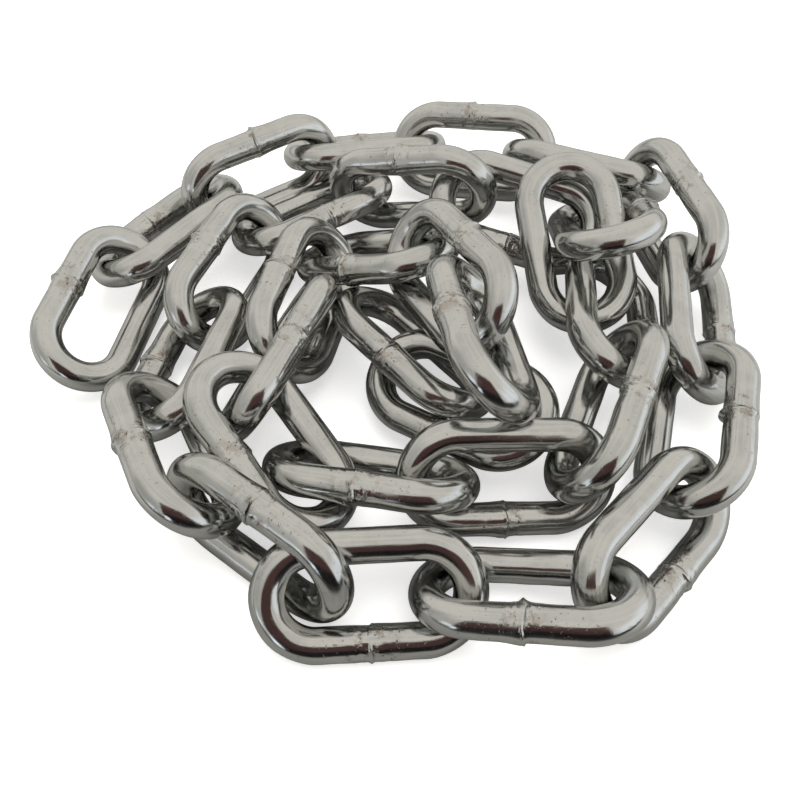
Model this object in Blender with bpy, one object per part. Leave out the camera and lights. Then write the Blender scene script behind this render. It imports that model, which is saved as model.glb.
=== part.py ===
"""A heap of zinc-plated steel chain: 33 welded oval links, hooked in a row and lying in two loose turns.

One link is modelled once and every object shares its mesh. Where each link lies is worked out below from
where its crowns and bars are seen from the front, from the shape of a link, and from steel not passing
through steel or the floor. Metres, +Z up, the floor at z = 0 and the middle of the heap on the Z axis.
"""

from collections import namedtuple
from math import cos, pi, radians, sin, sqrt

import bmesh
import bpy
import numpy as np
from mathutils import Matrix

# Driving dimensions of one link
WIRE = 0.007
INNER_LENGTH = 0.032
INNER_WIDTH = 0.0115
GAP = 0.0003

# How finely a link is faceted
WIRE_SIDES = 10
CROWN_STEPS = 8

# Worked out from the dimensions above
WIRE_RADIUS = WIRE / 2 * sqrt(2 * pi / (WIRE_SIDES * sin(2 * pi / WIRE_SIDES)))
CROWN_RADIUS = (INNER_WIDTH + WIRE) / 2
APEX = (INNER_LENGTH + WIRE) / 2
HALF_BAR = APEX - CROWN_RADIUS
CLEAR = 2 * WIRE_RADIUS + GAP

# The view in which the links below are described: an 800 x 800 picture from the front
VIEW_DOWN = radians(53)
VIEW_HEIGHT = 0.160
VIEW_FOCAL = 850
VIEW_CENTRE = (400, 400)

# The link that is set down square on the floor, its bars level and one facet of its wire flat on it
SET_DOWN = 12
SET_DOWN_LEAN = radians(36)

# How a link is seen. back and front are the middles of its wire at its two crowns, in pixels of the view:
# the one hooked to the link before it and the one hooked to the link after it. rise is the height of
# each in millimetres, roughly. left and right are points on its two bars, left and right going from
# back to front. lean is how far its left bar is raised, in degrees, and firm says that the lean is kept.
Seen = namedtuple("Seen", "back front rise lean left right firm", defaults=((), (), False))

LINKS = {
    1: Seen((64, 372), (122, 243), (4, 6), 0, left=[(48, 316), (67, 286)], right=[(143, 330), (153, 311)]),
    2: Seen((108, 268), (226, 190), (11, 9), -45, left=[(158, 217)], right=[(180, 238)]),
    3: Seen((195, 200), (323, 148), (9, 10), 40, left=[(248, 147)], right=[(268, 204)]),
    4: Seen((297, 158), (430, 142), (9, 8), -45, left=[(366, 146)]),
    5: Seen((405, 148), (541, 153), (9, 9), 40, left=[(470, 119)]),
    6: Seen((512, 158), (652, 182), (6, 16), 95, left=[(585, 165)]),
    7: Seen((640, 158), (714, 262), (13, 11), 95, left=[(700, 203)]),
    8: Seen((684, 256), (703, 388), (10, 8), -40, left=[(716, 320)], right=[(672, 310)]),
    9: Seen((712, 360), (692, 508), (10, 8), 45, left=[(738, 430)], right=[(652, 425)]),
    10: Seen((703, 481), (598, 604), (12, 10), -45, left=[(680, 572)], right=[(635, 520)]),
    11: Seen((633, 598), (421, 588), (10, 10), 40, left=[(525, 622)]),
    12: Seen((470, 586), (268, 598), (10, 8), -40, left=[(372, 639)], right=[(385, 540)]),
    13: Seen((336, 600), (182, 482), (9, 10), -45, right=[(262, 508)]),
    14: Seen((195, 525), (142, 388), (8, 8), 30, left=[(128, 432), (146, 475)]),
    15: Seen((158, 432), (225, 303), (10, 9), -40, left=[(158, 357)], right=[(222, 338)]),
    16: Seen((188, 334), (260, 219), (10, 12), 30, left=[(200, 255)], right=[(272, 275)]),
    17: Seen((256, 248), (380, 195), (12, 14), -40, left=[(300, 199)], right=[(318, 217)]),
    18: Seen((343, 187), (485, 184), (14, 14), 65, left=[(420, 157)], right=[(385, 213)], firm=True),
    19: Seen((443, 187), (577, 235), (12, 10), 0, left=[(510, 180)], right=[(497, 240)], firm=True),
    20: Seen((612, 212), (611, 252), (10, 26), 0, left=[(650, 216)], right=[(562, 222)]),
    21: Seen((570, 170), (592, 312), (32, 10), 0, left=[(608, 215)], right=[(540, 240)]),
    22: Seen((607, 265), (622, 360), (8, 14), 0, left=[(641, 300)], right=[(578, 305)]),
    23: Seen((634, 348), (575, 478), (18, 12), 45, left=[(645, 380)], right=[(585, 400)]),
    24: Seen((596, 478), (415, 480), (18, 16), -40, left=[(503, 518)], right=[(510, 435)]),
    25: Seen((468, 488), (272, 470), (12, 10), 27, left=[(367, 493), (410, 496)], right=[(372, 460)]),
    26: Seen((326, 508), (222, 372), (8, 10), -30, left=[(315, 435)], right=[(212, 425)]),
    27: Seen((236, 425), (325, 300), (14, 16), -60, left=[(280, 350)]),
    28: Seen((288, 363), (330, 243), (8, 18), 0, left=[(260, 295), (249, 330)], right=[(329, 325)]),
    29: Seen((322, 262), (448, 260), (14, 16), -40, left=[(375, 241)], right=[(345, 272), (388, 270)]),
    30: Seen((410, 225), (502, 323), (16, 18), 40, left=[(468, 245)], right=[(420, 310)]),
    31: Seen((458, 278), (492, 405), (14, 10), -45, left=[(507, 350)], right=[(458, 315), (469, 360)]),
    32: Seen((545, 425), (388, 370), (8, 8), -20, left=[(407, 408)], right=[(500, 372), (430, 345)]),
    33: Seen((459, 409), (349, 304), (8, 12), 15, left=[(362, 340), (405, 372)], right=[(404, 315)]),
}

# Links hook each other at their crowns, except here: the front crown of link 20 holds link 21 by a bar
HOOKED_ON_A_BAR = {20: (-0.002, CROWN_RADIUS)}

# How closely each thing is kept, as a distance in metres, in pixels or in radians: less is firmer
KEPT_CROWN_PIXELS = 4.0
KEPT_BAR_PIXELS = 2.5
KEPT_RISE = 0.0125
KEPT_LEAN = 0.001
KEPT_PLACE = 0.0025
KEPT_TURN = 1 / 6
WEIGHT_PULL = 0.0015
WEIGHT_KEPT = 1 / 350
HOOK_ALONG, HOOK_BEYOND, HOOK_ACROSS, HOOK_OFF = 0.0083, 0.002, 0.004, 0.0033
HOOK_ON_BAR = 0.010
CONTACT_FIRST, CONTACT_LAST = 0.0006, 0.00022
CONTACT_UNTIL_HOOKED = 0.05
CONTACT_FIRST_SHARE = 0.3

# How some of these change on the way: hooks and the heights ease off, and contact grows firmer
FLOOR_FIRMER = 1.5
HEIGHTS_EASED = 0.8
LEAN_EASED = 2.5
HOOKS_EASED = 4.0
HELD_FAST = 1e4

# The rounds of the work, and the shares of them after which the links are hooked and the hooks ease off
ROUNDS = 180
SET_DOWN_ROUND = 120
SETTLING_ROUNDS = 30
HOOKED_AFTER = 0.2
HOOKS_EASED_AFTER = 0.35
LONGEST_MOVE = 0.0015
LONGEST_TURN = 0.08

EYE = np.array([0, -VIEW_HEIGHT / np.tan(VIEW_DOWN), VIEW_HEIGHT])
VIEW_IN = np.array([0, cos(VIEW_DOWN), -sin(VIEW_DOWN)])
VIEW_UP = np.array([0, sin(VIEW_DOWN), cos(VIEW_DOWN)])
VIEW_RIGHT = np.array([1.0, 0, 0])
UP = np.array([0, 0, 1.0])


def point_seen(pixel, height):
    """The point at this height that is seen at this pixel."""
    across = (pixel[0] - VIEW_CENTRE[0]) / VIEW_FOCAL
    down = (pixel[1] - VIEW_CENTRE[1]) / VIEW_FOCAL
    ray = VIEW_IN + across * VIEW_RIGHT - down * VIEW_UP
    return EYE + (height - EYE[2]) / ray[2] * ray


def seen_at(point):
    """The pixel at which a point is seen, and how that pixel moves with the point."""
    arm = point - EYE
    depth = arm @ VIEW_IN
    x, y = arm @ VIEW_RIGHT / depth, arm @ VIEW_UP / depth
    pixel = np.array([VIEW_CENTRE[0] + VIEW_FOCAL * x, VIEW_CENTRE[1] - VIEW_FOCAL * y])
    slopes = VIEW_FOCAL / depth * np.array([VIEW_RIGHT - x * VIEW_IN, y * VIEW_IN - VIEW_UP])
    return pixel, slopes


def centreline():
    """The middle of a link's wire, as the corners of a closed line in the link's own plane."""
    turn = np.linspace(-pi / 2, pi / 2, CROWN_STEPS + 1)
    arc = np.stack([HALF_BAR + CROWN_RADIUS * np.cos(turn), CROWN_RADIUS * np.sin(turn), 0 * turn], 1)
    return np.concatenate([arc, arc * (-1, -1, 1)])


def turned(spin):
    """The rotation by a small vector: its direction is the axis and its length the angle."""
    angle = np.linalg.norm(spin)
    if angle < 1e-12:
        return np.eye(3)
    x, y, z = spin / angle
    cross = np.array([[0, -z, y], [z, 0, -x], [-y, x, 0]])
    return np.eye(3) + sin(angle) * cross + (1 - cos(angle)) * cross @ cross


def axes_from(along, across):
    """A rotation whose first column is along, and whose second is across made square to it."""
    along = along / np.linalg.norm(along)
    across = across - (across @ along) * along
    across = across / np.linalg.norm(across)
    return np.stack([along, across, np.cross(along, across)], 1)


def first_guess(seen):
    """The place and axes of a link from its crowns, their rise and its lean."""
    ends = [point_seen(pixel, rise / 1000) for pixel, rise in zip((seen.back, seen.front), seen.rise)]
    along = ends[1] - ends[0]
    level = axes_from(along, np.cross(UP, along))
    lean = radians(seen.lean)
    return sum(ends) / 2, axes_from(along, cos(lean) * level[:, 1] + sin(lean) * level[:, 2])


def nearest_points(start_a, end_a, start_b, end_b):
    """The nearest points of pairs of straight stretches."""
    run_a, run_b, between = end_a - start_a, end_b - start_b, start_a - start_b
    aa, bb, ab = (run_a * run_a).sum(-1), (run_b * run_b).sum(-1), (run_a * run_b).sum(-1)
    ac, bc = (run_a * between).sum(-1), (run_b * between).sum(-1)
    spread = aa * bb - ab * ab
    crossing = spread > 1e-6 * aa * bb
    s = np.where(crossing, np.clip((ab * bc - ac * bb) / np.where(crossing, spread, 1), 0, 1), 0)
    t = (ab * s + bc) / bb
    s = np.where(t < 0, np.clip(-ac / aa, 0, 1), np.where(t > 1, np.clip((ab - ac) / aa, 0, 1), s))
    t = np.clip(t, 0, 1)
    return start_a + run_a * s[..., None], start_b + run_b * t[..., None]


class Wishes:
    """What the links' places should satisfy, gathered as one least-squares step."""

    def __init__(self, middles, axes):
        self.middles, self.axes = middles, axes
        self.rows, self.misses = [], []

    def add(self, moves, miss, kept):
        """moves holds (link, direction in which its point at this place counts, that point)."""
        row = np.zeros((len(self.middles), 6))
        for link, direction, point in moves:
            row[link, :3] += direction
            row[link, 3:] += np.cross(point - self.middles[link], direction)
        self.rows.append(row.reshape(-1) / kept)
        self.misses.append(-miss / kept)

    def hold(self, link, firm=1.0):
        """A link stays near its place and its turn."""
        for axis in range(3):
            for first, kept in ((0, KEPT_PLACE / firm), (3, KEPT_TURN / firm)):
                row = np.zeros((len(self.middles), 6))
                row[link, first + axis] = 1
                self.rows.append(row.reshape(-1) / kept)
                self.misses.append(0.0)

    def step(self):
        rows, misses = np.array(self.rows), np.array(self.misses)
        return np.linalg.solve(rows.T @ rows, rows.T @ misses).reshape(-1, 6)


def wish_seen(wishes, link, seen):
    """The crowns and the bars lie where they are seen."""
    middle, axes = wishes.middles[link], wishes.axes[link]
    for end, pixel in ((-APEX, seen.back), (APEX, seen.front)):
        point = middle + axes[:, 0] * end
        at, slopes = seen_at(point)
        for miss, slope in zip(at - pixel, slopes):
            wishes.add([(link, slope, point)], miss, KEPT_CROWN_PIXELS)
    for side, pixels in ((CROWN_RADIUS, seen.left), (-CROWN_RADIUS, seen.right)):
        bar = [middle + axes @ (end, side, 0) for end in (-HALF_BAR, HALF_BAR)]
        ends = [seen_at(point)[0] for point in bar]
        run = ends[1] - ends[0]
        square = np.array([-run[1], run[0]]) / np.hypot(*run)
        for pixel in pixels:
            share = np.clip((pixel - ends[0]) @ run / (run @ run), 0, 1)
            point = bar[0] + (bar[1] - bar[0]) * share
            at, slopes = seen_at(point)
            wishes.add([(link, square @ slopes, point)], (at - pixel) @ square, KEPT_BAR_PIXELS)


def wish_height(wishes, link, seen, share):
    """The crowns are about as high as they look, and the link's weight pulls it down."""
    middle, axes = wishes.middles[link], wishes.axes[link]
    for end, rise in zip((-APEX, APEX), seen.rise):
        point = middle + axes[:, 0] * end
        wishes.add([(link, UP, point)], point[2] - rise / 1000, KEPT_RISE / (1 - HEIGHTS_EASED * share))
    if seen.firm:
        raised = axes[:, 1][2] - sin(radians(seen.lean))
        tip = middle + axes[:, 1] * CROWN_RADIUS
        row = np.zeros((len(wishes.middles), 6))
        row[link, 3:] = np.cross(tip - middle, UP)
        kept = KEPT_LEAN if share < 0.5 else KEPT_LEAN * LEAN_EASED
        wishes.rows.append(row.reshape(-1) / kept)
        wishes.misses.append(-raised * CROWN_RADIUS / kept)
    wishes.add([(link, UP, middle)], WEIGHT_PULL, WEIGHT_KEPT)


def wish_on_floor(wishes, link, wire, kept):
    """No part of the wire sinks into the floor."""
    for point in wire:
        if point[2] < WIRE_RADIUS:
            wishes.add([(link, UP, point)], point[2] - WIRE_RADIUS, kept / FLOOR_FIRMER)


def contact_kept(share):
    return 1 / ((1 - share) / CONTACT_FIRST * CONTACT_FIRST_SHARE + share / CONTACT_LAST)


def wish_hooked(wishes, count, share):
    """Each link's crown passes through the eye of the next link, and the next link's through its own."""
    eased = 1.0 if share < HOOKS_EASED_AFTER else HOOKS_EASED
    for link in range(count - 1):
        after = link + 1
        mine = np.array([APEX, 0, 0])
        hold = HOOKED_ON_A_BAR.get(after, (-APEX, 0))
        theirs = np.array([hold[0], hold[1], 0])
        for one, spot, other, target in ((link, mine, after, theirs), (after, theirs, link, mine)):
            point = wishes.middles[one] + wishes.axes[one] @ spot
            local = wishes.axes[other].T @ (point - wishes.middles[other])
            on_bar = target[1] != 0
            if on_bar:
                wanted = np.array([target[0], target[1] * (1 - WIRE / CROWN_RADIUS), 0])
                kept = (HOOK_ON_BAR, HOOK_ACROSS, HOOK_OFF)
            else:
                wanted = target * (1 - WIRE / APEX)
                slack = (local[0] - wanted[0]) * np.sign(target[0]) < 0
                kept = (HOOK_ALONG if slack else HOOK_BEYOND, HOOK_ACROSS, HOOK_OFF)
            for axis in range(3):
                direction = wishes.axes[other][:, axis]
                moves = [(one, direction, point), (other, -direction, point)]
                wishes.add(moves, local[axis] - wanted[axis], kept[axis] * eased)


def wish_clear(wishes, wires, kept):
    """Wires of different links stay clear of each other. It returns the worst overlap."""
    first, second = np.triu_indices(len(wires), 1)
    reach = 2 * APEX + CLEAR
    near = np.linalg.norm(wishes.middles[first] - wishes.middles[second], axis=1) < reach
    first, second = first[near], second[near]
    ends = np.roll(wires, -1, 1)
    on_a, on_b = nearest_points(
        wires[first][:, :, None], ends[first][:, :, None], wires[second][:, None], ends[second][:, None]
    )
    apart = np.linalg.norm(on_a - on_b, axis=-1)
    closest = apart.argmin(2)
    worst = 0.0
    for pair, stretch in zip(*np.where(apart.min(2) < CLEAR)):
        other = closest[pair, stretch]
        a, b = on_a[pair, stretch, other], on_b[pair, stretch, other]
        distance = np.linalg.norm(a - b)
        away = (a - b) / distance
        moves = [(first[pair], away, a), (second[pair], -away, b)]
        wishes.add(moves, distance - CLEAR, kept)
        worst = max(worst, CLEAR - distance)
    return worst


def moved(middles, axes, steps, fixed):
    """Every link moved by its step, rounded to a micron so that a run repeats exactly."""
    for link, step in enumerate(steps):
        if link in fixed:
            continue
        shift = step[:3] * min(1, LONGEST_MOVE / max(np.linalg.norm(step[:3]), 1e-12))
        spin = step[3:] * min(1, LONGEST_TURN / max(np.linalg.norm(step[3:]), 1e-12))
        middles[link] = np.round(middles[link] + shift, 6)
        turned_axes = np.round(turned(spin) @ axes[link], 6)
        axes[link] = axes_from(turned_axes[:, 0], turned_axes[:, 1])


def set_down(middle, axes):
    """The same link with its bars level, leaning so that a facet of its lower bar lies flat on the floor."""
    along = axes[:, 0] * (1, 1, 0)
    level = axes_from(along, np.cross(UP, along))
    side = np.sign(axes[:, 1][2]) or 1.0
    lean = side * SET_DOWN_LEAN
    axes = axes_from(along, cos(lean) * level[:, 1] + sin(lean) * level[:, 2])
    height = CROWN_RADIUS * sin(SET_DOWN_LEAN) + WIRE_RADIUS * cos(pi / WIRE_SIDES)
    return middle * (1, 1, 0) + (0, 0, height), axes


def lying_links():
    """The place and axes of each link in the heap."""
    seen = [LINKS[number] for number in sorted(LINKS)]
    guesses = [first_guess(link) for link in seen]
    middles = np.array([place for place, _ in guesses])
    axes = np.array([turn for _, turn in guesses])
    line = centreline()
    flat = SET_DOWN - 1
    for turn in range(ROUNDS + SETTLING_ROUNDS):
        settling = turn >= ROUNDS
        share = min(1.0, turn / ROUNDS)
        if turn == SET_DOWN_ROUND:
            middles[flat], axes[flat] = set_down(middles[flat], axes[flat])
        is_down = turn >= SET_DOWN_ROUND
        wires = line @ axes.transpose(0, 2, 1) + middles[:, None]
        wishes = Wishes(middles, axes)
        for link, look in enumerate(seen):
            if not settling:
                wish_seen(wishes, link, look)
                wish_height(wishes, link, look, share)
            wish_on_floor(wishes, link, wires[link], contact_kept(share))
            wishes.hold(link, HELD_FAST if is_down and link == flat else 1.0)
        if not settling:
            wish_hooked(wishes, len(seen), share)
        contact = contact_kept(share) if share >= HOOKED_AFTER else CONTACT_UNTIL_HOOKED
        worst = wish_clear(wishes, wires, contact)
        moved(middles, axes, wishes.step(), {flat} if is_down else set())
    print(f"worst overlap before the last step {worst * 1000:.3f} mm")
    wires = line @ axes.transpose(0, 2, 1) + middles[:, None]
    middles[:, :2] -= (wires[:, :, :2].max((0, 1)) + wires[:, :, :2].min((0, 1))) / 2
    return middles, axes


def link_mesh():
    """One link: a round wire bent into an oval, its two straight bars joined by two half-round crowns."""
    shape = bmesh.new()
    turn = Matrix.Translation((HALF_BAR, -CROWN_RADIUS, 0)) @ Matrix.Rotation(pi / 2, 4, "Y")
    ring = bmesh.ops.create_circle(shape, segments=WIRE_SIDES, radius=WIRE_RADIUS, matrix=turn)["verts"]
    edges = list({edge for vertex in ring for edge in vertex.link_edges})
    for side in (1, -1):
        bent = bmesh.ops.spin(
            shape,
            geom=ring + edges,
            cent=(side * HALF_BAR, 0, 0),
            axis=(0, 0, 1),
            angle=pi,
            steps=CROWN_STEPS,
        )["geom_last"]
        edges = [item for item in bent if isinstance(item, bmesh.types.BMEdge)]
        drawn = bmesh.ops.extrude_edge_only(shape, edges=edges)["geom"]
        ring = [item for item in drawn if isinstance(item, bmesh.types.BMVert)]
        edges = [item for item in drawn if isinstance(item, bmesh.types.BMEdge)]
        edges = [edge for edge in edges if all(vertex in ring for vertex in edge.verts)]
        bmesh.ops.translate(shape, verts=ring, vec=(-side * 2 * HALF_BAR, 0, 0))
    bmesh.ops.remove_doubles(shape, verts=shape.verts[:], dist=1e-6)
    bmesh.ops.recalc_face_normals(shape, faces=shape.faces[:])
    mesh = bpy.data.meshes.new("chain_link")
    shape.to_mesh(mesh)
    shape.free()
    mesh.shade_smooth()
    return mesh


def zinc_plated_steel():
    """Bright zinc plating: pale, slightly warm grey metal with a soft polish."""
    material = bpy.data.materials.new("zinc_plated_steel")
    material.use_nodes = True
    surface = material.node_tree.nodes["Principled BSDF"]
    surface.inputs["Base Color"].default_value = (0.62, 0.61, 0.58, 1)
    surface.inputs["Metallic"].default_value = 1.0
    surface.inputs["Roughness"].default_value = 0.24
    return material


def main():
    for old in list(bpy.data.objects):
        bpy.data.objects.remove(old)
    mesh = link_mesh()
    mesh.materials.append(zinc_plated_steel())
    middles, axes = lying_links()
    for number, (middle, turn) in enumerate(zip(middles, axes), start=1):
        link = bpy.data.objects.new(f"link_{number:02d}", mesh)
        bpy.context.scene.collection.objects.link(link)
        link.matrix_world = Matrix.Translation(middle) @ Matrix(turn.tolist()).to_4x4()


main()
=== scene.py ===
"""The looks of a heap of zinc-plated steel chain: round wire, butt welds, plating and wear.

Each link of the frame is replaced by a finer one in the same place. A link's wire is first described
straight: each point of its surface by how far it is from the weld along the wire, and by its angle around
the wire. Angles start on the outside of the link and go over its upper face. The wire is then bent into
the oval. Metres and radians, +Z up.
"""

from collections import namedtuple
from math import cos, pi, radians, sin

import bpy
import numpy as np
from mathutils import Matrix, Vector, noise

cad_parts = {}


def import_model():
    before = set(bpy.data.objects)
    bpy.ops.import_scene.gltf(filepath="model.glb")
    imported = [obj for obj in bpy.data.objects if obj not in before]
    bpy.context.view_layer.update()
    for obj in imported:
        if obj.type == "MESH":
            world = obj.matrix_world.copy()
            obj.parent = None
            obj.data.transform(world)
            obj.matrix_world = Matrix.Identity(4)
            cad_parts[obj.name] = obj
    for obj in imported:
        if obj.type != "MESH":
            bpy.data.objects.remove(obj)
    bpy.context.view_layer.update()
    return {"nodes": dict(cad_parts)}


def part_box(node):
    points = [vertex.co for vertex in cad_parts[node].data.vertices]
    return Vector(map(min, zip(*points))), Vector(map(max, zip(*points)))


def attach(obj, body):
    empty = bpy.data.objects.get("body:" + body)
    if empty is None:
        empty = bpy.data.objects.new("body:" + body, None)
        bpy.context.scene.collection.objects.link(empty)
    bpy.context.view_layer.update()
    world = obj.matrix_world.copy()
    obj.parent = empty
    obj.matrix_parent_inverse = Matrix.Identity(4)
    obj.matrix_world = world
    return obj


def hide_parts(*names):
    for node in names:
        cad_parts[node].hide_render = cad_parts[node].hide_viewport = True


# Driving dimensions of one link, as in the frame
WIRE = 0.007
INNER_LENGTH = 0.032
INNER_WIDTH = 0.0115

# Worked out from the dimensions above
RADIUS = WIRE / 2
CROWN_RADIUS = (INNER_WIDTH + WIRE) / 2
HALF_BAR = (INNER_LENGTH + WIRE) / 2 - CROWN_RADIUS
CROWN_RUN = pi * CROWN_RADIUS
WIRE_LENGTH = 4 * HALF_BAR + 2 * CROWN_RUN
RING_RADIUS = WIRE_LENGTH / (2 * pi)

# How finely a link is made: its sides, and its steps along the wire near the weld and elsewhere
SIDES = 48
WELD_REACH = 0.0045
WELD_STEP = 0.00014
PLAIN_STEP = 0.0009

# The weld's seam: how far it wanders along the wire, how far it leans, and half its width
SEAM_WANDER = 0.00022
SEAM_LEAN = 0.00025
SEAM_HALF_WIDTH = 0.00012

# What stands up at the weld: how far it reaches along the wire, and how high it is. The two ends swell
# unlike each other by SWELL_UNLIKE, and the lips are up to LIP_RAGGEDNESS higher where they are ragged
SWELL_REACH = 0.0026
SWELL_HEIGHT = 0.00022
SWELL_UNLIKE = 0.00012
LIP_REACH = 0.00034
LIP_HEIGHT = 0.00006
LIP_RAGGEDNESS = 0.00015
FLASH_REACH = 0.0007
CREASED_REACH = 0.0032
CREASE_HEIGHT = 0.00013

# Creases are made up to CREASED_END from the weld. Along the wire there are CREASES_ALONG in a metre, and
# around it they lie on a circle with a radius of CREASES_AROUND creases
CREASED_END = 2.2 * WELD_REACH
CREASES_ALONG = 520
CREASES_AROUND = 1.7

# The crack beside the seam
CRACK_PLACE = -0.00042
CRACK_REACH = 0.00014
CRACK_DEPTH = 0.00020

# The wire's two ends miss each other: by how much, and how far that reaches along the wire
END_MISS = 0.00018
MISS_REACH = 0.005

# How high the marks of the rolls are
GRIP_HEIGHT = 0.00003

# The bend leaves a crown thinner and taller, by these shares, and pressed in on its inside by this much
CROWN_THINNER = 0.035
CROWN_TALLER = 0.012
CROWN_PRESSED = 0.00012

# The shortest waves along the wire: at the weld, where only their turns around it show, and elsewhere
WELD_WAVE = 0.03
GRIP_WAVE = 0.006

# How many streaks of the drawn wire there are in a metre, along it and across it
STREAKS_ALONG = 60
STREAKS_ACROSS = 1500

# Colours of the plating and of what is on it
ZINC = (0.62, 0.62, 0.605, 1)
GREY_ZINC = (0.53, 0.54, 0.525, 1)
BRIGHT_ZINC = (0.67, 0.665, 0.645, 1)
STAIN_COLOUR = (0.40, 0.34, 0.29, 1)
CREASE_COLOUR = (0.20, 0.15, 0.12, 1)
SPECK_COLOUR = (0.10, 0.07, 0.055, 1)
CRACK_COLOUR = (0.03, 0.028, 0.026, 1)

# How strongly the streaks, stains and creases colour the plating
STREAKS_SHOWN = 0.6
STAINS_SHOWN = 0.6
CREASES_SHOWN = 0.5

# How rough the plating is between and on its streaks, and how much rougher stains and specks make it
BRIGHT_ROUGHNESS = 0.12
STREAK_ROUGHNESS = 0.19
STAIN_ROUGHNESS = 0.16
SPECK_ROUGHNESS = 0.3

# Noise on the plating: its scale to a metre, its detail and its roughness
CLOUDS = (150.0, 4.0, 0.6)
DENTS = (160.0, 1.0, 0.4)
PATCHES = (330.0, 3.0, 0.6)
PITS = (1500.0, 2.0, 0.7)
GRAIN = (3200.0, 2.0, 0.6)

# Fine creases are the edges of cells: the cells' scale, and the scale and reach of the edges' wandering
CREASE_CELLS = 300.0
CREASE_WANDER = (600.0, 0.0022)

# Stains and creases fade out between these distances from the weld. Specks thin out to SPECKS_FAR
STAINED = (0.001, 0.007)
SPECKED = (0.002, 0.016)
SPECKS_FAR = 0.25

# Relief that is too fine for the mesh
DENT_DEPTH = 0.00010
STREAK_DEPTH = 0.000018
GRAIN_DEPTH = 0.000004
SPECK_DEPTH = 0.00003
FINE_CREASE_DEPTH = 0.00002
STAIN_CRUST = 0.00010

# The view: an 800 x 800 picture, whose camera looks down at the heap from the front
VIEW_SIZE = 800
VIEW_FOCAL_PIXELS = 850
VIEW_DOWN = radians(53)
VIEW_PLACE = (0.0016, -0.1332, 0.160)
SENSOR = 36

# The floor, as it is seen and as the plating mirrors it. The mirrored colours are painted: painted shade
# under the heap, a greyer painted reflection around it and a black painted reflection far in front.
# FLOOR_LIFT is how much it glows for the camera
FLOOR_SIZE = 6
FLOOR_COLOUR = (0.9, 0.9, 0.89, 1)
MIRRORED_FLOOR_SHADE = (0.30, 0.30, 0.29, 1)
MIRRORED_FLOOR_GREY = (0.54, 0.54, 0.53, 1)
MIRRORED_FLOOR_DARK = (0.03, 0.03, 0.03, 1)
FLOOR_LIFT = 0.55

# Where the mirrored floor changes: beside the heap, behind it and in front of it
FLOOR_BESIDE = (0.06, 0.12)
FLOOR_BEHIND = (0.04, 0.12)
FLOOR_FRONT = (-0.145, -0.105)

# The room that the plating mirrors, and the pale ground that the camera sees instead of it
ROOM_LOW = (0.32, 0.33, 0.32, 1)
ROOM_COLOUR = (0.78, 0.755, 0.70, 1)
ROOM_LEFT = (0.50, 0.495, 0.47, 1)
COLD_LIGHT = (0.98, 1.02, 1.05, 1)
LOW_GLOW = (1.00, 1.06, 1.12, 1)
GROUND = (0.93, 0.93, 0.92, 1)

# Where the parts of the room are seen, in degrees. A bearing goes from the front to the right: where a part
# starts, is full, is still full and ends. A rise goes up from the floor: where it starts to fade and ends
ROOM_RISES = (0, 10)
LEFT_BEARINGS = (-120, -90, -40, -20)
LEFT_RISES = (25, 65)
COLD_BEARINGS = (30, 50, 100, 140)
COLD_RISES = (18, 36)
GLOW_BEARINGS = (-66, -52, -44, -38)
GLOW_RISES = (10, 16)

# The dark screen that the plating mirrors: its size, its middle, and how high its black part goes. Left of
# BLACK_LEFT a low lamp shows in place of the black
SCREEN_WIDTH = 0.27
SCREEN_HEIGHT = 0.30
SCREEN_PLACE = (0.0, -0.24, SCREEN_HEIGHT / 2)
BLACK_HEIGHT = 0.09
BLACK_LEFT = -0.088
LAMP_HEIGHT = 0.055
SCREEN_BLACK = (0.010, 0.009, 0.010, 1)
SCREEN_BROWN = (0.075, 0.038, 0.035, 1)
SCREEN_LAMP = (1.25, 1.35, 1.45, 1)

# Soft edges on the screen: above and below the black's top, left of the lamp's right end and below its top
BLACK_SOFT = 0.02
LAMP_SIDE_SOFT = 0.008
LAMP_TOP_SOFT = 0.015

# The lamp overhead
OVERHEAD_SIZE = 0.8
OVERHEAD_WATTS = 5.0
OVERHEAD_PLACE = (0.1, 0.1, 0.9)

# How a link is welded. side is the bar with the weld: 1 the left one and -1 the right one, going along
# the chain. flash is how high the squeezed-out metal stands, and where its angle around the wire
Weld = namedtuple("Weld", "side flash where", defaults=(1, 0.00022, 0.0))
WELDS = {
    9: Weld(flash=0.0006, where=2.9),
    11: Weld(flash=0.0007, where=2.6),
    13: Weld(side=-1),
    17: Weld(side=-1),
    18: Weld(side=-1),
    19: Weld(side=-1),
    27: Weld(side=-1),
    29: Weld(side=-1),
    31: Weld(side=-1),
}
UP = Vector((0, 0, 1))


def link_pose(node, before, after):
    """A link's middle and axes: along the chain, across to its left bar, and square to both."""
    corners = np.array([vertex.co for vertex in node.data.vertices], float)
    corners = np.unique(np.round(corners, 6), axis=0)
    middle = corners.mean(0)
    _, axes = np.linalg.eigh(np.cov((corners - middle).T))
    along, across = Vector(axes[:, 2]), Vector(axes[:, 1])
    if along.dot(after - before) < 0:
        along = -along
    if across.dot(UP.cross(along)) < 0:
        across = -across
    turn = Matrix((along, across, along.cross(across))).transposed()
    return Matrix.Translation(middle) @ turn.to_4x4()


def middle_of(node):
    low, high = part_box(node)
    return (low + high) / 2


def wire_places():
    """Distances along the wire from the weld, both ways, close together at the weld."""
    near = np.arange(0, WELD_REACH, WELD_STEP)
    far = np.linspace(WELD_REACH, WIRE_LENGTH / 2, int((WIRE_LENGTH / 2 - WELD_REACH) / PLAIN_STEP))
    half = np.concatenate([near, far])
    return np.concatenate([-half[:0:-1], half[:-1]])


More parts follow.
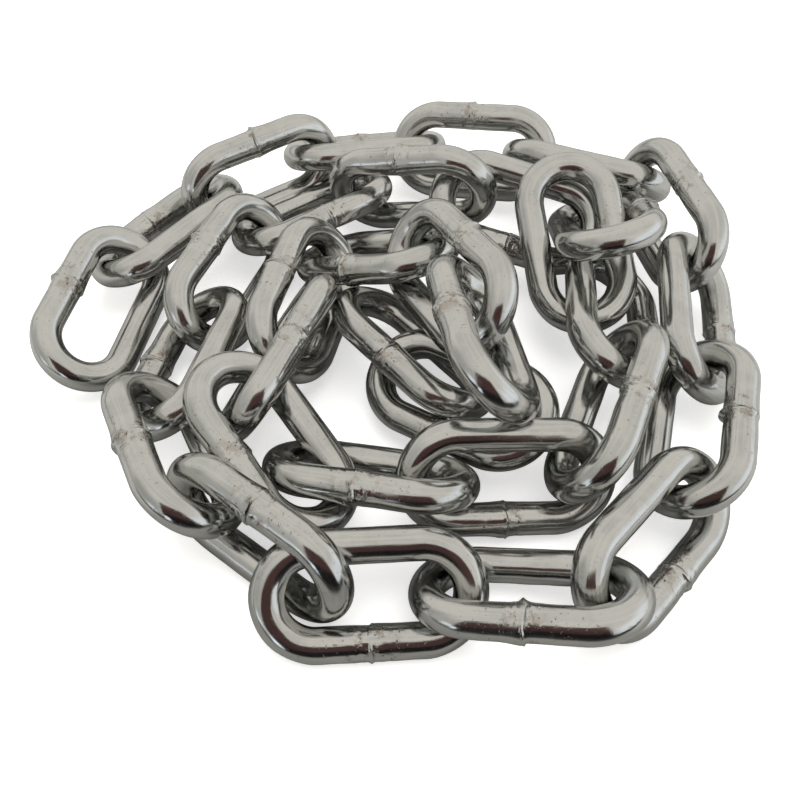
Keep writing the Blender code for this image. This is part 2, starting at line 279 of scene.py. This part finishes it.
def bent(place):
    """The middle of the wire and its outward direction, in the link's own plane, at a distance along it."""
    start = np.abs(place)
    sign = np.where(place < 0, -1.0, 1.0)
    angle = np.clip((start - HALF_BAR) / CROWN_RADIUS, 0, pi)
    past = np.clip(start - HALF_BAR - CROWN_RUN, 0, None)
    x = np.minimum(start, HALF_BAR) + CROWN_RADIUS * np.sin(angle) - past
    y = CROWN_RADIUS * np.cos(angle)
    return np.stack([sign * x, y], 1), np.stack([sign * np.sin(angle), np.cos(angle)], 1)


def smooth(low, high, value):
    """0 below low, 1 above high, and smooth between."""
    share = np.clip((value - low) / (high - low), 0, 1)
    return share * share * (3 - 2 * share)


def bell(value, width):
    return np.exp(-((value / width) ** 2))


def waves(place, angle, random, count, shortest, most_turns):
    """A smooth unevenness of the wire, between about -1 and 1, in waves along the wire and around it."""
    total = 0 * place
    for _ in range(count):
        turns = random.integers(0, most_turns + 1)
        cycles = random.integers(1, int(WIRE_LENGTH / shortest) + 1)
        phase = random.uniform(0, 2 * pi)
        total += np.sin(2 * pi * cycles * place / WIRE_LENGTH + turns * angle + phase)
    return total / count ** 0.5 / 1.4


def crumples(place, angle, seed):
    """Creased metal: sharp ridges, made only near the weld, and other ones for each seed."""
    height = np.zeros(place.size)
    for index in np.flatnonzero(np.abs(place).ravel() < CREASED_END):
        along, around = place.ravel()[index] * CREASES_ALONG, angle.ravel()[index]
        spot = Vector((along, CREASES_AROUND * cos(around), CREASES_AROUND * sin(around)))
        spot += Vector((7.3 * seed, 0, 0))
        height[index] = 1 - abs(noise.noise(spot)) * 2.2 - abs(noise.noise(spot * 2.3)) * 0.9
    return height.reshape(place.shape)


def wire_radius(place, angle, number, weld, random):
    """The wire's radius at each point, how far the point is past the seam, and how cracked it is there."""
    level = 0 * place
    wander = waves(level, angle, random, count=4, shortest=WELD_WAVE, most_turns=5)
    past_seam = place - (SEAM_WANDER * wander + SEAM_LEAN * np.sin(angle + number))
    # Past the seam the other end of the wire swells more, or draws in
    unlike = random.choice([-1, 1]) * smooth(-SEAM_HALF_WIDTH, SEAM_HALF_WIDTH, past_seam) * 2 - 1
    swell = bell(place, SWELL_REACH) * (SWELL_HEIGHT + SWELL_UNLIKE * unlike)
    ragged = waves(level, angle, random, count=4, shortest=WELD_WAVE, most_turns=5)
    lips = bell(past_seam, LIP_REACH) * (LIP_HEIGHT + LIP_RAGGEDNESS * smooth(-0.6, 1.0, ragged))
    opened = waves(level, angle, random, count=3, shortest=WELD_WAVE, most_turns=3)
    crack = bell(past_seam - CRACK_PLACE, CRACK_REACH) * smooth(-0.2, 0.7, opened)
    flash = weld.flash * bell(past_seam, FLASH_REACH) * smooth(0.55, 1.0, np.cos(angle - weld.where))
    grip = waves(place, angle, random, count=5, shortest=GRIP_WAVE, most_turns=3) * GRIP_HEIGHT
    radius = RADIUS + swell + lips - crack * CRACK_DEPTH + flash + grip
    # The creases are strongest beside the flash
    creased_where = bell(place, CREASED_REACH) * smooth(-1.2, 0.9, np.cos(angle - weld.where - 0.6))
    radius += CREASE_HEIGHT * crumples(place, angle, number) * creased_where
    return radius, past_seam, crack


def pressed_crowns(place, angle, outward, upward):
    """The bend flattens the wire a little on the inside of each crown, and makes it a little taller."""
    in_crown = smooth(0, 0.25, 1 - np.abs(np.abs(place) - HALF_BAR - CROWN_RUN / 2) / (CROWN_RUN / 2))
    pressed = CROWN_PRESSED * in_crown * smooth(0, 1, -np.cos(angle))
    return outward * (1 - CROWN_THINNER * in_crown) - pressed, upward * (1 + CROWN_TALLER * in_crown)


def link_shape(number, weld):
    """Points of the wire's surface, rings of SIDES, with the crack of the weld as a share at each point."""
    random = np.random.default_rng(number)
    place, angle = np.meshgrid(wire_places(), np.arange(SIDES) * 2 * pi / SIDES, indexing="ij")
    radius, past_seam, crack = wire_radius(place, angle, number, weld, random)
    outward, upward = pressed_crowns(place, angle, radius * np.cos(angle), radius * np.sin(angle))
    # One end of the wire misses the other by a little
    side_step = END_MISS * np.sign(past_seam) * bell(place, MISS_REACH) / 2
    miss = random.uniform(0, 2 * pi)
    outward = outward + side_step * cos(miss)
    upward = upward + side_step * sin(miss)
    line, out = bent(wire_places())
    x = line[:, None, 0] + out[:, None, 0] * outward
    y = line[:, None, 1] + out[:, None, 1] * outward
    return place, angle, np.stack([x, y, upward], 2), crack


def add_values(mesh, name, values):
    """Give each point of a mesh a number, or three, for the material to read."""
    kind, field, count = ("FLOAT_VECTOR", "vector", 3) if values.ndim == 3 else ("FLOAT", "value", 1)
    attribute = mesh.attributes.new(name, kind, "POINT")
    attribute.data.foreach_set(field, values.reshape(-1, count).ravel().astype(np.float32))


def add_wire_places(mesh, place, angle):
    """Where each point is on the wire, as if the wire were one round ring, so that no place is an end."""
    turn = place / RING_RADIUS
    outward, upward = RADIUS * np.cos(angle), RADIUS * np.sin(angle)
    from_middle = RING_RADIUS + outward
    ring_place = [from_middle * np.cos(turn), from_middle * np.sin(turn), upward]
    add_values(mesh, "ring_place", np.stack(ring_place, 2))
    # The streaks run along the wire, and their place has four numbers: two for a circle along the wire
    # and two for a circle around it
    circle = STREAKS_ALONG * RING_RADIUS
    streak_place = [circle * np.cos(turn), circle * np.sin(turn), STREAKS_ACROSS * outward]
    add_values(mesh, "streak_place", np.stack(streak_place, 2))
    add_values(mesh, "streak_depth", STREAKS_ACROSS * upward)
    add_values(mesh, "from_weld", np.abs(place))


def link_mesh(number, weld):
    place, angle, points, crack = link_shape(number, weld)
    points = points * (1, weld.side, 1)
    rings = len(points)
    ring, side = np.meshgrid(np.arange(rings), np.arange(SIDES), indexing="ij")
    after, beside = (ring + 1) % rings, (side + 1) % SIDES
    this_ring, next_ring = ring * SIDES, after * SIDES
    quads = np.stack([this_ring + side, this_ring + beside, next_ring + beside, next_ring + side], 2)
    # A mirrored link needs its faces turned round, so that they look outward again
    if weld.side < 0:
        quads = quads[:, :, ::-1]
    mesh = bpy.data.meshes.new(f"chain_link_{number:02d}")
    mesh.from_pydata(points.reshape(-1, 3).tolist(), [], quads.reshape(-1, 4).tolist())
    mesh.shade_smooth()
    add_values(mesh, "crack", crack)
    add_wire_places(mesh, place, angle)
    return mesh


class Nodes:
    """A short way to write shader nodes: a value is a number, a colour or another node's output."""

    def __init__(self, tree):
        self.tree = tree

    def add(self, kind, inputs=(), out=0, **settings):
        node = self.tree.nodes.new(kind)
        for name, value in settings.items():
            setattr(node, name, value)
        for name, value in dict(inputs).items():
            socket = node.inputs[name]
            if isinstance(value, bpy.types.NodeSocket):
                self.tree.links.new(value, socket)
            else:
                socket.default_value = value
        return node.outputs[out]

    def math(self, operation, a, b=0.0):
        return self.add("ShaderNodeMath", {0: a, 1: b}, operation=operation)

    def times(self, a, b):
        return self.math("MULTIPLY", a, b)

    def plus(self, a, b):
        return self.math("ADD", a, b)

    def vector_plus(self, a, b):
        return self.add("ShaderNodeVectorMath", {0: a, 1: b}, operation="ADD")

    def mix(self, share, a, b):
        """Colour a where share is 0 and b where it is 1. Sockets 6, 7 and 2 are the node's colours."""
        return self.add("ShaderNodeMix", {0: share, 6: a, 7: b}, 2, data_type="RGBA")

    def ramp(self, value, low, high, start=0.0, end=1.0):
        """value from low to high gives start to end, smoothly, and no more."""
        inputs = {"Value": value, "From Min": low, "From Max": high, "To Min": start, "To Max": end}
        return self.add("ShaderNodeMapRange", inputs, interpolation_type="SMOOTHSTEP")

    def fall(self, value, low, high):
        """1 below low, 0 above high, and smooth between."""
        return self.ramp(value, low, high, 1.0, 0.0)

    def window(self, value, start, full, still_full, end):
        """1 from full to still_full, 0 outside start and end, and smooth between."""
        return self.times(self.ramp(value, start, full), self.fall(value, still_full, end))

    def noise(self, vector, scale, detail, roughness):
        inputs = {"Vector": vector, "Scale": scale, "Detail": detail, "Roughness": roughness}
        return self.add("ShaderNodeTexNoise", inputs)

    def wander(self, vector, scale, reach):
        """A smooth vector that wanders by up to half of reach each way."""
        colour = self.add("ShaderNodeTexNoise", {"Vector": vector, "Scale": scale, "Detail": 1.0}, "Color")
        centred = self.add("ShaderNodeVectorMath", {0: colour, 1: (0.5, 0.5, 0.5)}, operation="SUBTRACT")
        return self.add("ShaderNodeVectorMath", {0: centred, "Scale": reach}, operation="SCALE")

    def parts(self, vector):
        node = self.tree.nodes.new("ShaderNodeSeparateXYZ")
        self.tree.links.new(vector, node.inputs[0])
        return node.outputs

    def number_on_mesh(self, name):
        return self.add("ShaderNodeAttribute", {}, "Fac", attribute_name=name)

    def vector_on_mesh(self, name):
        return self.add("ShaderNodeAttribute", {}, "Vector", attribute_name=name)


def plating_streaks(n, own):
    """The fine lines of drawn wire, other ones on each link."""
    inputs = {
        "Vector": n.vector_on_mesh("streak_place"),
        "W": n.plus(n.number_on_mesh("streak_depth"), n.times(own, 97.0)),
        "Scale": 1.0,
        "Detail": 3.0,
        "Roughness": 0.6,
    }
    return n.add("ShaderNodeTexNoise", inputs, noise_dimensions="4D")


def plating_marks(n, spot):
    """Stains, creases and dark specks, which are thickest at the weld, and the pits in the plating."""
    far = n.number_on_mesh("from_weld")
    pits = n.noise(spot, *PITS)
    patches = n.noise(spot, *PATCHES)
    cells_at = {"Vector": n.vector_plus(spot, n.wander(spot, *CREASE_WANDER)), "Scale": CREASE_CELLS}
    cells = n.add("ShaderNodeTexVoronoi", cells_at, feature="DISTANCE_TO_EDGE")
    near_weld = n.fall(far, *STAINED)
    worn = n.ramp(far, *SPECKED, 1.0, SPECKS_FAR)
    stain = n.times(near_weld, n.ramp(patches, 0.50, 0.66))
    creased = n.times(near_weld, n.ramp(patches, 0.52, 0.60))
    crease = n.times(n.fall(cells, 0.0, 0.05), creased)
    speck = n.times(n.ramp(pits, 0.62, 0.70), n.ramp(patches, 0.42, 0.58))
    return stain, crease, n.times(speck, worn), pits


def plating_colour(n, spot, streaks, stain, crease, speck):
    colour = n.mix(n.ramp(n.noise(spot, *CLOUDS), 0.35, 0.65), ZINC, GREY_ZINC)
    colour = n.mix(n.ramp(streaks, 0.42, 0.62, 0.0, STREAKS_SHOWN), colour, BRIGHT_ZINC)
    colour = n.mix(n.times(stain, STAINS_SHOWN), colour, STAIN_COLOUR)
    colour = n.mix(n.times(crease, CREASES_SHOWN), colour, CREASE_COLOUR)
    colour = n.mix(speck, colour, SPECK_COLOUR)
    return n.mix(n.number_on_mesh("crack"), colour, CRACK_COLOUR)


def plating_roughness(n, streaks, stain, speck):
    rough = n.ramp(streaks, 0.3, 0.7, BRIGHT_ROUGHNESS, STREAK_ROUGHNESS)
    rough = n.plus(rough, n.times(stain, STAIN_ROUGHNESS))
    return n.plus(rough, n.times(speck, SPECK_ROUGHNESS))


def plating_relief(n, spot, streaks, stain, crease, speck, pits):
    height = n.times(n.noise(spot, *DENTS), DENT_DEPTH)
    height = n.plus(height, n.times(streaks, STREAK_DEPTH))
    height = n.plus(height, n.times(n.noise(spot, *GRAIN), GRAIN_DEPTH))
    height = n.plus(height, n.times(speck, -SPECK_DEPTH))
    height = n.plus(height, n.times(crease, -FINE_CREASE_DEPTH))
    height = n.plus(height, n.times(stain, n.times(pits, STAIN_CRUST)))
    return n.add("ShaderNodeBump", {"Strength": 1.0, "Distance": 1.0, "Height": height})


def zinc_plating():
    """Bright zinc on steel wire. Every link has its own streaks and marks, by a random number of its own."""
    material = bpy.data.materials.new("zinc_plating")
    material.use_nodes = True
    n = Nodes(material.node_tree)
    own = n.add("ShaderNodeObjectInfo", {}, "Random")
    shift = n.add("ShaderNodeCombineXYZ", {0: own, 1: own, 2: own})
    spot = n.vector_plus(n.vector_on_mesh("ring_place"), shift)
    streaks = plating_streaks(n, own)
    stain, crease, speck, pits = plating_marks(n, spot)
    looks = {
        "Base Color": plating_colour(n, spot, streaks, stain, crease, speck),
        "Roughness": plating_roughness(n, streaks, stain, speck),
        "Normal": plating_relief(n, spot, streaks, stain, crease, speck, pits),
    }
    surface = material.node_tree.nodes["Principled BSDF"]
    surface.inputs["Metallic"].default_value = 1.0
    for name, look in looks.items():
        material.node_tree.links.new(look, surface.inputs[name])
    return material


def dress_links(frame):
    """Replace each link of the frame by a fine one. The links' names number them along the chain."""
    names = sorted(frame["nodes"])
    middles = [middle_of(name) for name in names]
    plating = zinc_plating()
    for index, name in enumerate(names):
        before, after = middles[max(index - 1, 0)], middles[min(index + 1, len(names) - 1)]
        pose = link_pose(frame["nodes"][name], before, after)
        mesh = link_mesh(index + 1, WELDS.get(index + 1, Weld()))
        mesh.transform(pose)
        mesh.materials.append(plating)
        piece = bpy.data.objects.new(f"wire_{name}", mesh)
        bpy.context.scene.collection.objects.link(piece)
        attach(piece, "root")
        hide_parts(name)


def make_camera():
    camera = bpy.data.objects.new("camera", bpy.data.cameras.new("camera"))
    bpy.context.scene.collection.objects.link(camera)
    camera.data.sensor_width = SENSOR
    camera.data.lens = SENSOR * VIEW_FOCAL_PIXELS / VIEW_SIZE
    camera.data.clip_start = 0.005
    camera.location = VIEW_PLACE
    camera.rotation_euler = (pi / 2 - VIEW_DOWN, 0, 0)
    bpy.context.scene.camera = camera


def make_floor():
    """A pale matt sheet. Its colour in the plating is painted: greyer, with painted shade under the heap,
    darkest in front of it.
    """
    bpy.ops.mesh.primitive_plane_add(size=FLOOR_SIZE)
    floor = bpy.context.object
    floor.name = "floor"
    material = bpy.data.materials.new("pale_floor")
    material.use_nodes = True
    n = Nodes(material.node_tree)
    surface = material.node_tree.nodes["Principled BSDF"]
    surface.inputs["Roughness"].default_value = 0.9
    surface.inputs["Specular IOR Level"].default_value = 0.0
    across, back = n.parts(n.add("ShaderNodeNewGeometry", {}, "Position"))[:2]
    beside = n.ramp(n.math("ABSOLUTE", across), *FLOOR_BESIDE)
    around = n.math("MAXIMUM", beside, n.ramp(back, *FLOOR_BEHIND))
    # Glossy rays see a painted colour, not the floor's own: painted shade under the heap, greyer around it,
    # and a black painted reflection far in front
    mirrored = n.mix(around, MIRRORED_FLOOR_SHADE, MIRRORED_FLOOR_GREY)
    mirrored = n.mix(n.ramp(back, *FLOOR_FRONT), MIRRORED_FLOOR_DARK, mirrored)
    in_mirror = n.add("ShaderNodeLightPath", {}, "Is Glossy Ray")
    colour = n.mix(in_mirror, FLOOR_COLOUR, mirrored)
    material.node_tree.links.new(colour, surface.inputs["Base Color"])
    surface.inputs["Emission Color"].default_value = (1, 1, 1, 1)
    lift = n.times(n.add("ShaderNodeLightPath", {}, "Is Camera Ray"), FLOOR_LIFT)
    material.node_tree.links.new(lift, surface.inputs["Emission Strength"])
    floor.data.materials.append(material)


def make_surroundings():
    """What the plating mirrors: a pale room, greyer on the left and with a cold light low on the right."""
    world = bpy.data.worlds.new("room")
    world.use_nodes = True
    bpy.context.scene.world = world
    n = Nodes(world.node_tree)
    x, y, z = n.parts(n.add("ShaderNodeTexCoord", {}, "Generated"))
    rise = n.times(n.math("ARCSINE", z), 180 / pi)
    bearing = n.times(n.math("ARCTAN2", x, n.times(y, -1.0)), 180 / pi)
    left = n.times(n.window(bearing, *LEFT_BEARINGS), n.fall(rise, *LEFT_RISES))
    cold = n.times(n.window(bearing, *COLD_BEARINGS), n.fall(rise, *COLD_RISES))
    glow = n.times(n.window(bearing, *GLOW_BEARINGS), n.fall(rise, *GLOW_RISES))
    room = n.mix(n.ramp(rise, *ROOM_RISES), ROOM_LOW, ROOM_COLOUR)
    room = n.mix(left, room, ROOM_LEFT)
    room = n.mix(cold, room, COLD_LIGHT)
    room = n.mix(glow, room, LOW_GLOW)
    seen = n.mix(n.add("ShaderNodeLightPath", {}, "Is Camera Ray"), room, GROUND)
    world.node_tree.links.new(seen, world.node_tree.nodes["Background"].inputs["Color"])


def make_dark_screen():
    """A dark screen in front of the heap, which only the plating sees: brown above, black below."""
    bpy.ops.mesh.primitive_plane_add(size=1, location=SCREEN_PLACE, rotation=(pi / 2, 0, 0))
    screen = bpy.context.object
    screen.name = "dark_screen"
    screen.scale = (SCREEN_WIDTH, SCREEN_HEIGHT, 1)
    screen.visible_camera = False
    screen.visible_shadow = False
    screen.visible_diffuse = False
    material = bpy.data.materials.new("dark_screen")
    material.use_nodes = True
    n = Nodes(material.node_tree)
    surface = material.node_tree.nodes["Principled BSDF"]
    surface.inputs["Base Color"].default_value = (0, 0, 0, 1)
    surface.inputs["Specular IOR Level"].default_value = 0.0
    across, _, up = n.parts(n.add("ShaderNodeNewGeometry", {}, "Position"))
    upper = n.ramp(up, BLACK_HEIGHT - BLACK_SOFT, BLACK_HEIGHT + BLACK_SOFT)
    dark = n.mix(upper, SCREEN_BLACK, SCREEN_BROWN)
    leftmost = n.fall(across, BLACK_LEFT - LAMP_SIDE_SOFT, BLACK_LEFT)
    lamp = n.times(leftmost, n.fall(up, LAMP_HEIGHT - LAMP_TOP_SOFT, LAMP_HEIGHT))
    shown = n.mix(lamp, dark, SCREEN_LAMP)
    material.node_tree.links.new(shown, surface.inputs["Emission Color"])
    surface.inputs["Emission Strength"].default_value = 1.0
    screen.data.materials.append(material)


def make_lamp():
    """A broad soft lamp overhead, for the floor. The plating mirrors the room and not the lamp."""
    light = bpy.data.lights.new("overhead", "AREA")
    light.shape = "DISK"
    light.size = OVERHEAD_SIZE
    light.energy = OVERHEAD_WATTS
    lamp = bpy.data.objects.new("overhead", light)
    bpy.context.scene.collection.objects.link(lamp)
    lamp.location = OVERHEAD_PLACE
    lamp.visible_glossy = False


def main():
    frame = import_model()
    make_camera()
    make_floor()
    make_surroundings()
    make_dark_screen()
    make_lamp()
    dress_links(frame)
    bpy.context.scene.view_settings.view_transform = "Standard"


main()
